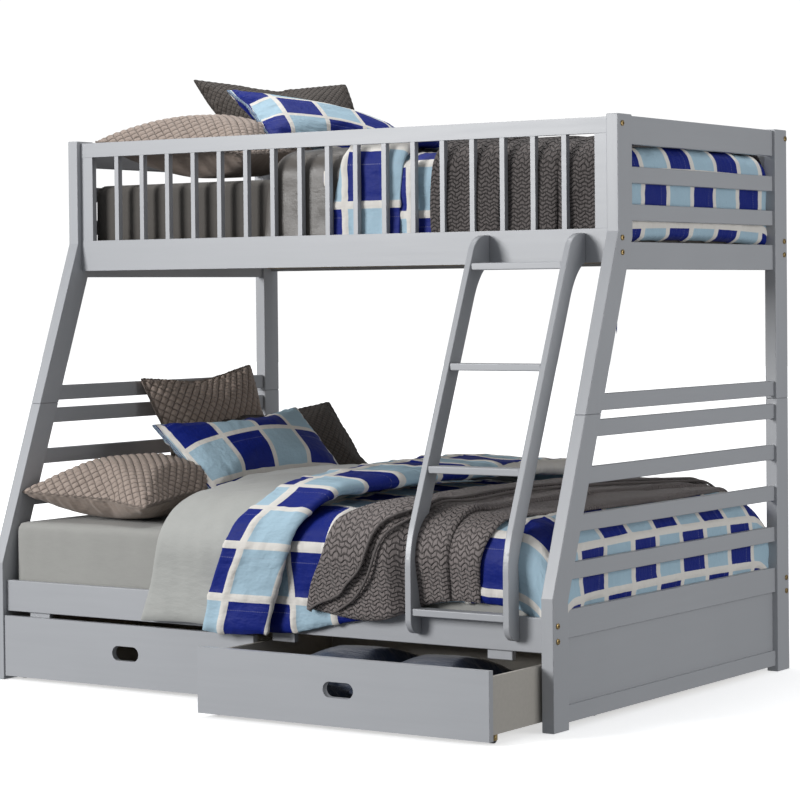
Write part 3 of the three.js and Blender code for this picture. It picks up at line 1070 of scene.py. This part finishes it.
PILLOWS = {
    "pillow_lower_lying": dict(
        cloth=(0.60, 0.62), loft=0.205, floor=BED_LOW[1].z, kind="quilted", node="lower_pillow_lying",
        corners=(corner(-0.965, 0.09, 0.570), corner(-0.455, 0.075, 0.540),
                 corner(-0.45, 0.58, 0.575), corner(-0.965, 0.60, 0.60)),
    ),
    "pillow_lower_standing": dict(
        cloth=(0.66, 0.52), loft=0.14, floor=BED_LOW[1].z, kind="quilted", node="lower_pillows_leaning",
        corners=(corner(-0.76, 0.63, 0.50), corner(-0.76, 1.25, 0.52),
                 corner(-0.955, 1.245, 0.937), corner(-0.955, 0.655, 0.905)),
    ),
    "pillow_lower_dark": dict(
        cloth=(0.68, 0.50), loft=0.15, floor=BED_LOW[1].z, kind="dark", node="lower_pillows_leaning",
        corners=(corner(-0.66, 0.78, 0.47), corner(-0.40, 1.34, 0.49),
                 corner(-0.691, 1.35, 0.805), corner(-0.94, 0.80, 0.785)),
    ),
    "pillow_lower_check": dict(
        cloth=(0.63, 0.335), loft=0.15, floor=BED_LOW[1].z, kind="check", node="lower_pillows_leaning",
        phase=(-0.020, 0.148),
        corners=(corner(-0.454, 0.40, 0.552), corner(-0.36, 1.00, 0.57),
                 corner(-0.651, 1.10, 0.797), corner(-0.779, 0.50, 0.762)),
    ),
    "pillow_upper_lying": dict(
        cloth=(0.72, 0.56), loft=0.21, floor=BED_HIGH[1].z, kind="quilted", node="upper_pillow_lying",
        corners=(corner(-0.955, 0.44, 1.665), corner(-0.335, 0.44, 1.60),
                 corner(-0.34, 0.90, 1.63), corner(-0.955, 0.90, 1.68)),
    ),
    "pillow_upper_dark": dict(
        cloth=(0.66, 0.50), loft=0.13, floor=BED_HIGH[1].z, kind="dark", node="upper_pillows_leaning",
        corners=(corner(-0.70, 0.86, 1.55), corner(-0.36, 1.30, 1.55),
                 corner(-0.609, 1.35, 1.886), corner(-0.915, 0.90, 1.892)),
    ),
    "pillow_upper_check": dict(
        cloth=(0.66, 0.45), loft=0.15, floor=BED_HIGH[1].z, kind="check", node="upper_pillows_leaning",
        phase=(0.040, 0.150),
        corners=(corner(-0.40, 0.63, 1.665), corner(-0.15, 1.16, 1.56),
                 corner(-0.361, 1.28, 1.726), corner(-0.653, 0.74, 1.834)),
    ),
}
PILLOW_FINISH = {
    "quilted": ("taupe", "quilted_pillow"),
    "dark": ("dark", "quilted_pillow"),
    "check": ("check_pillow", "checked_pillow"),
}


def pillow(name, cloth, loft, floor, kind, node, corners, seed, phase=(0, 0)):
    width, height = cloth
    o = pillow_shape(name, width, height, loft, seed, phase)
    refine(o, 1 if kind == "check" else 2)
    puckers(o, width, height, 0.006, seed, phase)
    if kind == "quilted":
        quilting(o, QUILT_PITCH, 0.007)
    if kind == "dark":
        quilting(o, FINE_PITCH, 0.0025)
    placed(o, corners)
    rest_above(o, floor)
    smooth(o, 80)
    material, slot = PILLOW_FINISH[kind]
    return finish_piece(o, MATERIALS[material], replaces=[node])


class BUNK_OT_add_pillows(bpy.types.Operator):
    """Make the seven pillows"""

    bl_idname = "bunk.add_pillows"
    bl_label = "Add the pillows"

    def execute(self, context):
        for seed, (name, spec) in enumerate(PILLOWS.items()):
            pillow(name, seed=20 + 3 * seed, **spec)
        return {"FINISHED"}


# ---- Duvets and throws --------------------------------------------------------------


# Where the covers hang down at the foot, just inside the end boards.
COVER_FOOT = 0.966


def lower_bunk_top():
    outside, inside = RAIL_LOW[0].y - 0.025, BED_LOW[0].y - 0.010

    def front(s):
        return outside + (inside - outside) * step(s, 0.49, 0.56)

    def crown(s):
        return 0.012 + 0.028 * (1 - step(s, 0.1, 0.9))

    return BunkTop(0.548, front, REAR_INNER - 0.012, COVER_FOOT, 0.12, crown, 0.028)


def upper_bunk_top():
    front = level(RAIL_HIGH[1].y + 0.010)
    return BunkTop(1.580, front, REAR_INNER - 0.012, COVER_FOOT, 0.06, level(0.01))


def seams(o, pitch, depth, seed):
    """Sinks the sewn lines between the squares, with small gathers beside them."""
    u, v = get_uv(o)
    off_u = np.abs((u / pitch + 0.5) % 1 - 0.5) * pitch
    off_v = np.abs((v / pitch + 0.5) % 1 - 0.5) * pitch
    sunk = np.exp(-((off_u / 0.014) ** 2)) + np.exp(-((off_v / 0.014) ** 2))
    gather = np.exp(-off_u / 0.035) * ripples(v, u * 0.15, 0.02, seed)
    gather = gather + np.exp(-off_v / 0.035) * ripples(u, v * 0.15, 0.02, seed + 1)
    lift = (gather * 0.45 - np.clip(sunk, 0, 1)) * depth
    set_coordinates(o, coordinates(o) + vertex_normals(o) * lift[:, None])


def add_duvet(name, o, node, material="check"):
    refine(o)
    if material.startswith("check"):
        seams(o, looks()[1].pitch, 0.005, len(name))
    smooth(o, 80)
    return finish_piece(o, MATERIALS[material], replaces=[node])


def wavy(seed, size=0.13, depth=0.009):
    """Long soft folds that run down the cover."""
    def folds(s, t):
        return ripples(s, t * 0.3, size, seed) * depth * step(t, -0.15, 0.15)

    return folds


def lower_covers():
    bunk = lower_bunk_top()
    node = "lower_duvet_and_throw"
    hem = through([
        (-0.45, 0.214), (-0.18, 0.224), (0.14, 0.214), (0.32, 0.254), (0.42, 0.272), (0.54, 0.309),
        (1.1, 0.309),
    ])
    rear = -1.36

    def end(s):
        return bunk.t_at(hem(s))

    def base_cloth(s, t):
        return (s - 0.155) * 1.063 + 0.148, 0.012 + 0.094 * step(s, 0.45, 0.8) - t

    base = cover(
        "duvet_lower", bunk, level(-0.22), level(1.20), end, rear,
        (0, 0), (0.055, 0.02), (0.03, 0.02, 0.02), (160, 120), wavy(41), 42, base_cloth,
    )
    add_duvet("duvet_lower", base, node, material="check_seamed")
    band_left = through([
        (-1.3, -0.36), (-0.8, -0.42), (-0.3, -0.36), (0.0, -0.285), (0.25, -0.34), (0.41, -0.405),
    ])
    band = cover(
        "duvet_lower_turned_down", bunk, band_left, shifted(band_left, 0.46), end, rear,
        (0.036, 0.024), (0.034, 0.022), (0.028, 0.02, 0.012), (60, 110), wavy(51), 52,
    )
    add_duvet("duvet_lower_turned_down", band, node, "reverse")
    flap_left = through([
        (-1.3, 0.0), (-0.6, 0.06), (-0.3, 0.045), (-0.04, 0.05), (0.045, 0.045), (0.09, 0.02),
        (0.115, -0.008), (0.155, -0.035), (0.22, -0.08), (0.275, -0.108), (0.36, -0.135), (0.43, -0.16),
    ])
    flap_right = through([
        (-1.3, 0.36), (-0.6, 0.36), (-0.1, 0.29), (0.04, 0.25), (0.13, 0.195), (0.22, 0.15), (0.31, 0.11),
        (0.41, 0.08),
    ])
    flap_hem = through([(-0.2, 0.224), (-0.1, 0.206), (0.0, 0.203), (0.1, 0.212)])
    flap_rows = through([
        (-1.3, 1.536), (-0.3, 0.536), (-0.06, 0.296), (0.035, 0.148), (0.095, 0.0), (0.165, -0.148),
        (0.305, -0.296), (0.453, -0.444),
    ])

    def flap_cloth(s, t):
        return (s - flap_left(t) - 0.072) * (0.6 + 0.3 * step(t, 0.0, 0.12)), flap_rows(t)

    flap = cover(
        "duvet_lower_flap", bunk, flap_left, flap_right, lambda s: bunk.t_at(flap_hem(s)), rear,
        (0.078, 0.052), (0.042, 0.030), (0.018, 0.036, 0.012), (60, 110), wavy(61), 62, flap_cloth,
    )
    add_duvet("duvet_lower_flap", flap, node, material="check_seamed")


def add_throw(o, node, material="throw"):
    """Finishes one fold of a throw."""
    u, v = get_uv(o)
    refine(o)
    smooth(o, 80)
    return finish_piece(o, MATERIALS[material], replaces=[node])


def lower_throws():
    bunk = lower_bunk_top()
    node = "lower_duvet_and_throw"
    left = through([
        (-1.25, 0.68), (-1.0, 0.60), (-0.75, 0.54), (-0.5, 0.49), (-0.25, 0.46), (-0.05, 0.435),
        (0.04, 0.415), (0.075, 0.36), (0.10, 0.325), (0.135, 0.31), (0.17, 0.295), (0.20, 0.275),
        (0.26, 0.24), (0.33, 0.222),
    ])
    middle = through([(-1.25, 0.82), (-1.0, 0.78), (-0.5, 0.72), (-0.1, 0.69), (0.3, 0.665)])
    right = through([
        (-1.25, 0.84), (-0.9, 0.88), (-0.6, 0.89), (-0.3, 0.88), (-0.1, 0.85), (0.06, 0.81), (0.185, 0.77),
        (0.32, 0.755),
    ])
    piped = through([
        (-1.25, 0.78), (-0.9, 0.69), (-0.6, 0.62), (-0.3, 0.57), (0.0, 0.555), (0.075, 0.535), (0.09, 0.505),
        (0.105, 0.48), (0.13, 0.46), (0.17, 0.44), (0.205, 0.415), (0.245, 0.37), (0.285, 0.325),
        (0.305, 0.268), (0.325, 0.235),
    ])
    second = through([
        (-1.25, 0.81), (-0.9, 0.72), (-0.6, 0.65), (-0.3, 0.60), (0.0, 0.585), (0.09, 0.545), (0.13, 0.495),
        (0.185, 0.46), (0.22, 0.44), (0.255, 0.415), (0.295, 0.375), (0.33, 0.315),
    ])
    hem = through([(0.2, 0.294), (0.27, 0.284), (0.5, 0.281), (0.56, 0.308), (1.0, 0.308)])
    rear = -1.25

    def end(s):
        return bunk.t_at(hem(s))

    back = cover(
        "throw_lower_back_fold", bunk, shifted(middle, -0.03), right, end, rear,
        (0.016, 0.014), (0.014, 0.012), (0.012, 0.014, 0.006), (40, 150), wavy(71, 0.07, 0.004), 72,
    )
    main = cover(
        "throw_lower_middle_fold", bunk, left, middle, end, rear,
        (0.028, 0.026), (0.022, 0.02), (0.014, 0.02, 0.008), (70, 150), wavy(81, 0.09, 0.004), 82,
    )
    front = cover(
        "throw_lower_front_fold", bunk, shifted(left, -0.004), piped, end, rear,
        (0.040, 0.038), (0.014, 0.014), (0.012, 0.005, 0.005), (36, 150), wavy(91, 0.09, 0.004), 92,
    )
    for o in (back, main, front):
        add_throw(o, node)
    along = np.linspace(-1.2, 0.325, 130)
    for i, (line, lift) in enumerate(((piped, 0.040), (second, 0.034))):
        points = bunk.point(line(along), along, np.full(len(along), lift))
        piping(f"throw_lower_piping_{i + 1}", points, 0.0042, MATERIALS["throw_edge"])


def upper_covers():
    bunk = upper_bunk_top()
    node = "upper_duvet_and_throw"

    end = level(bunk.t_at(1.32))
    rear = -0.93

    def base_cloth(s, t):
        return s + 0.02, 0.063 - t

    def flap_cloth(s, t):
        return s + 0.098, 0.03 - t

    base = cover(
        "duvet_upper", bunk, level(-0.10), level(1.21), end, rear,
        (0, 0), (0.055, 0.014), (0.03, 0.02, 0.01), (150, 90), wavy(141, 0.12, 0.004), 142, base_cloth,
    )
    add_duvet("duvet_upper", base, node)
    band_left = through([(-0.9, -0.16), (-0.3, -0.18), (0.0, -0.20), (0.1, -0.235), (0.3, -0.262)])
    band = cover(
        "duvet_upper_turned_down", bunk, band_left, shifted(band_left, 0.40), end, rear,
        (0.03, 0.005), (0.034, 0.012), (0.03, 0.02, 0.01), (60, 90), wavy(151, 0.10, 0.004), 152,
    )
    # The upper turned-down band takes the duvet reverse in painted shade.
    add_duvet("duvet_upper_turned_down", band, node, "reverse_upper")
    flap_left = through([(-0.9, 0.1), (0.0, 0.06), (0.1, 0.02), (0.3, 0.0)])
    flap_right = through([(-0.9, 0.30), (0.0, 0.27), (0.1, 0.25), (0.3, 0.24)])
    flap = cover(
        "duvet_upper_flap", bunk, flap_left, flap_right, end, rear,
        (0.06, 0.008), (0.038, 0.010), (0.02, 0.03, 0.01), (50, 90), wavy(161, 0.10, 0.003), 162, flap_cloth,
    )
    add_duvet("duvet_upper_flap", flap, node)


def upper_throws():
    bunk = upper_bunk_top()
    node = "upper_duvet_and_throw"

    end = level(bunk.t_at(1.325))
    rear = -0.9
    lines = [
        through([(-0.9, 0.42), (0.0, 0.38), (0.1, 0.365), (0.3, 0.361)]),
        through([(-0.9, 0.60), (0.0, 0.58), (0.3, 0.57)]),
        through([(-0.9, 0.78), (0.0, 0.77), (0.3, 0.76)]),
        through([(-0.9, 0.93), (0.0, 0.955), (0.3, 0.96)]),
    ]
    for i in range(3):
        under = 2 - i  # how many folds lie under this one
        lift = (0.026 + 0.006 * under, 0.013 + 0.002 * under)
        overlap = 0.02 if under else 0.0
        seed = 171 + 10 * i
        o = cover(
            f"throw_upper_fold_{i + 1}", bunk, shifted(lines[i], -0.004), shifted(lines[i + 1], overlap),
            end, rear, lift, (0.016, 0.010), (0.012, 0.016, 0.006), (46, 110),
            wavy(seed, 0.06, 0.004), seed + 1,
        )
        # The upper throw's folds take the darker copy of the cloth: painted shade.
        add_throw(o, node, "throw_upper")


class BUNK_OT_add_duvets(bpy.types.Operator):
    """Lay the duvets, each turned down and folded forward once"""

    bl_idname = "bunk.add_duvets"
    bl_label = "Add the duvets"

    def execute(self, context):
        lower_covers()
        upper_covers()
        return {"FINISHED"}


class BUNK_OT_add_throws(bpy.types.Operator):
    """Lay the folded throws with their piped edges"""

    bl_idname = "bunk.add_throws"
    bl_label = "Add the throws"

    def execute(self, context):
        lower_throws()
        upper_throws()
        return {"FINISHED"}


class BUNK_OT_add_stored_cushions(bpy.types.Operator):
    """Put two navy cushions in the open drawer"""

    bl_idname = "bunk.add_stored_cushions"
    bl_label = "Add the stored cushions"

    def execute(self, context):
        low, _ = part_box("drawer_box_right")
        floor = low.z + 0.042
        front = low.y
        for i, (x0, x1, top) in enumerate(((0.20, 0.50, 0.19), (0.48, 0.78, 0.18))):
            o = pillow_shape(f"stored_cushion_{i + 1}", 0.40, 0.52, 0.16, 200 + i)
            refine(o)
            puckers(o, 0.40, 0.52, 0.007, 210 + i)
            middle = top - 0.08
            placed(o, ((x0, front + 0.03, middle), (x1, front + 0.03, middle),
                       (x1, front + 0.48, middle), (x0, front + 0.48, middle)))
            rest_above(o, floor, 0.008)
            smooth(o, 80)
            finish_piece(o, MATERIALS["navy"], "drawer_right")
        return {"FINISHED"}


# ---- Stage --------------------------------------------------------------------------

AZIMUTH = math.radians(34.1385)
ELEVATION = math.radians(1.2586)
ROLL = math.radians(-0.5413)
CAMERA_PLACE = Vector((4.58315, -6.57860, 1.17449))


def camera_axes():
    back = Vector((math.sin(AZIMUTH) * math.cos(ELEVATION), -math.cos(AZIMUTH) * math.cos(ELEVATION),
                   math.sin(ELEVATION)))
    right = Vector((math.cos(AZIMUTH), math.sin(AZIMUTH), 0))
    up = back.cross(right)
    across = right * math.cos(ROLL) + up * math.sin(ROLL)
    upward = up * math.cos(ROLL) - right * math.sin(ROLL)
    return Matrix((across, upward, back)).transposed()


def area_light(name, place, target, size, power):
    data = bpy.data.lights.new(name, "AREA")
    data.shape = "RECTANGLE"
    data.size, data.size_y = size
    data.energy = power
    o = bpy.data.objects.new(name, data)
    bpy.context.scene.collection.objects.link(o)
    o.location = place
    o.rotation_euler = (Vector(target) - Vector(place)).to_track_quat("-Z", "Y").to_euler()
    return o


def floor_material(color):
    """White near the bed, where it takes a faint shadow under a dim painted glow, and glowing white further out
    with a bright painted glow.
    """
    r = Recipe("white_floor")
    x, y, _ = r.axes(r.place())
    away = ((x * x + y * y) / 9.0).smallest(1.0)
    # Painted glow: dim near the bed, bright further out.
    glow = r.mix(away, (0.45, 0.45, 0.45, 1), (1.1, 1.1, 1.1, 1))
    return r.surface(base_color=tone(color), roughness=0.9, emission_color=glow, emission_strength=1.0)


def studio_world(world):
    """Plain white behind the bed, and a dimmer grey light from all round."""
    world.use_nodes = True
    tree = world.node_tree
    tree.nodes.clear()
    seen = tree.nodes.new("ShaderNodeBackground")
    seen.inputs["Color"].default_value = (1, 1, 1, 1)
    seen.inputs["Strength"].default_value = 1.05
    around = tree.nodes.new("ShaderNodeBackground")
    around.inputs["Color"].default_value = (0.93, 0.96, 1, 1)
    around.inputs["Strength"].default_value = 0.27
    path = tree.nodes.new("ShaderNodeLightPath")
    both = tree.nodes.new("ShaderNodeMixShader")
    out = tree.nodes.new("ShaderNodeOutputWorld")
    tree.links.new(path.outputs["Is Camera Ray"], both.inputs["Fac"])
    tree.links.new(around.outputs["Background"], both.inputs[1])
    tree.links.new(seen.outputs["Background"], both.inputs[2])
    tree.links.new(both.outputs["Shader"], out.inputs["Surface"])


class BUNK_OT_add_stage(bpy.types.Operator):
    """Make the floor, the lights and the camera"""

    bl_idname = "bunk.add_stage"
    bl_label = "Add the stage"

    def execute(self, context):
        _, _, stage = looks()
        deselect()
        bpy.ops.mesh.primitive_plane_add(size=60, location=(0, 0, -0.0005))
        floor = added("floor")
        floor.data.materials.append(floor_material(stage.floor))
        floor.visible_diffuse = False
        floor.visible_glossy = False
        world = context.scene.world or bpy.data.worlds.new("studio")
        context.scene.world = world
        studio_world(world)
        middle = (0, 0, 0.9)
        area_light("key", (-4.7, -8.8, 3.5), middle, (3.4, 3.4), 900)
        area_light("top", (-0.3, 0.5, 5.0), middle, (2.6, 1.6), 105)
        area_light("side_fill", (4.2, 0.4, 1.3), (1.0, 0.2, 0.9), (2.0, 2.0), 48)
        data = bpy.data.cameras.new("camera")
        data.lens = stage.focal
        data.sensor_width = 36
        data.shift_x = 0
        data.shift_y = -0.0613
        data.clip_end = 100
        camera = bpy.data.objects.new("camera", data)
        context.scene.collection.objects.link(camera)
        camera.matrix_world = Matrix.Translation(CAMERA_PLACE) @ camera_axes().to_4x4()
        context.scene.camera = camera
        context.scene.view_settings.view_transform = "Standard"
        return {"FINISHED"}


# ---- Panel, registration and the run ------------------------------------------------

STEPS = (
    BUNK_OT_finish_frame,
    BUNK_OT_add_bolts,
    BUNK_OT_add_axles,
    BUNK_OT_add_mattresses,
    BUNK_OT_add_pillows,
    BUNK_OT_add_duvets,
    BUNK_OT_add_throws,
    BUNK_OT_add_stored_cushions,
    BUNK_OT_add_stage,
)
GROUPS = {
    "bunk_frame_looks": BunkFrameLooks,
    "bunk_bedding_looks": BunkBeddingLooks,
    "bunk_stage_looks": BunkStageLooks,
}


class BUNK_PT_steps(bpy.types.Panel):
    """The steps that dress the bed, in order"""

    bl_label = "Bunk bed"
    bl_idname = "BUNK_PT_steps"
    bl_space_type = "VIEW_3D"
    bl_region_type = "UI"
    bl_category = "Bunk bed"

    def draw(self, context):
        for key, group in GROUPS.items():
            box = self.layout.box()
            for name in group.__annotations__:
                box.prop(getattr(context.scene, key), name)
        for made in STEPS:
            self.layout.operator(made.bl_idname)


def register():
    for key, group in GROUPS.items():
        bpy.utils.register_class(group)
        setattr(bpy.types.Scene, key, bpy.props.PointerProperty(type=group))
    for made in (*STEPS, BUNK_PT_steps):
        bpy.utils.register_class(made)


def unregister():
    for made in (BUNK_PT_steps, *reversed(STEPS)):
        bpy.utils.unregister_class(made)
    for key, group in reversed(GROUPS.items()):
        delattr(bpy.types.Scene, key)
        bpy.utils.unregister_class(group)


def main():
    register()
    for made in STEPS:
        step_name = made.bl_idname.split(".")[1]
        getattr(bpy.ops.bunk, step_name)()
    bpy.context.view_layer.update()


if __name__ == "__main__":
    main()
